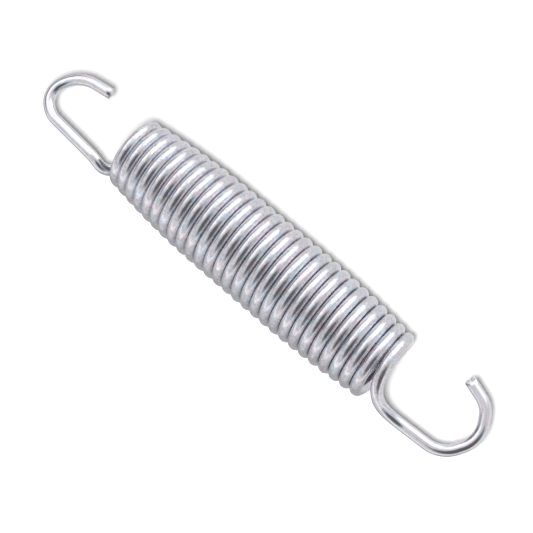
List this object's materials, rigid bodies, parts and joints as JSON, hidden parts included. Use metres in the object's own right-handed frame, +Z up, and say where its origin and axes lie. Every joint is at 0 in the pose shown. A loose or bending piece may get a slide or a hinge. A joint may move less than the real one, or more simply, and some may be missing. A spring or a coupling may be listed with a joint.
{
  "type": "extension spring",
  "caption": "Close-wound, barrel-shaped extension spring in bright zinc-plated wire, with an open round hook bent at each end.",
  "frame": {"origin": "on the resting surface, straight below the middle of the whole spring", "axes": "+X along the coil's axis towards the wider hook, +Y towards the hooks' cut ends, +Z up"},
  "size_m": [0.1398, 0.0236, 0.0229],
  "materials": {
    "zinc": "bright zinc plate over drawn steel wire"
  },
  "bodies": {
    "root": {"spring": "zinc"}
  },
  "joints": []
}
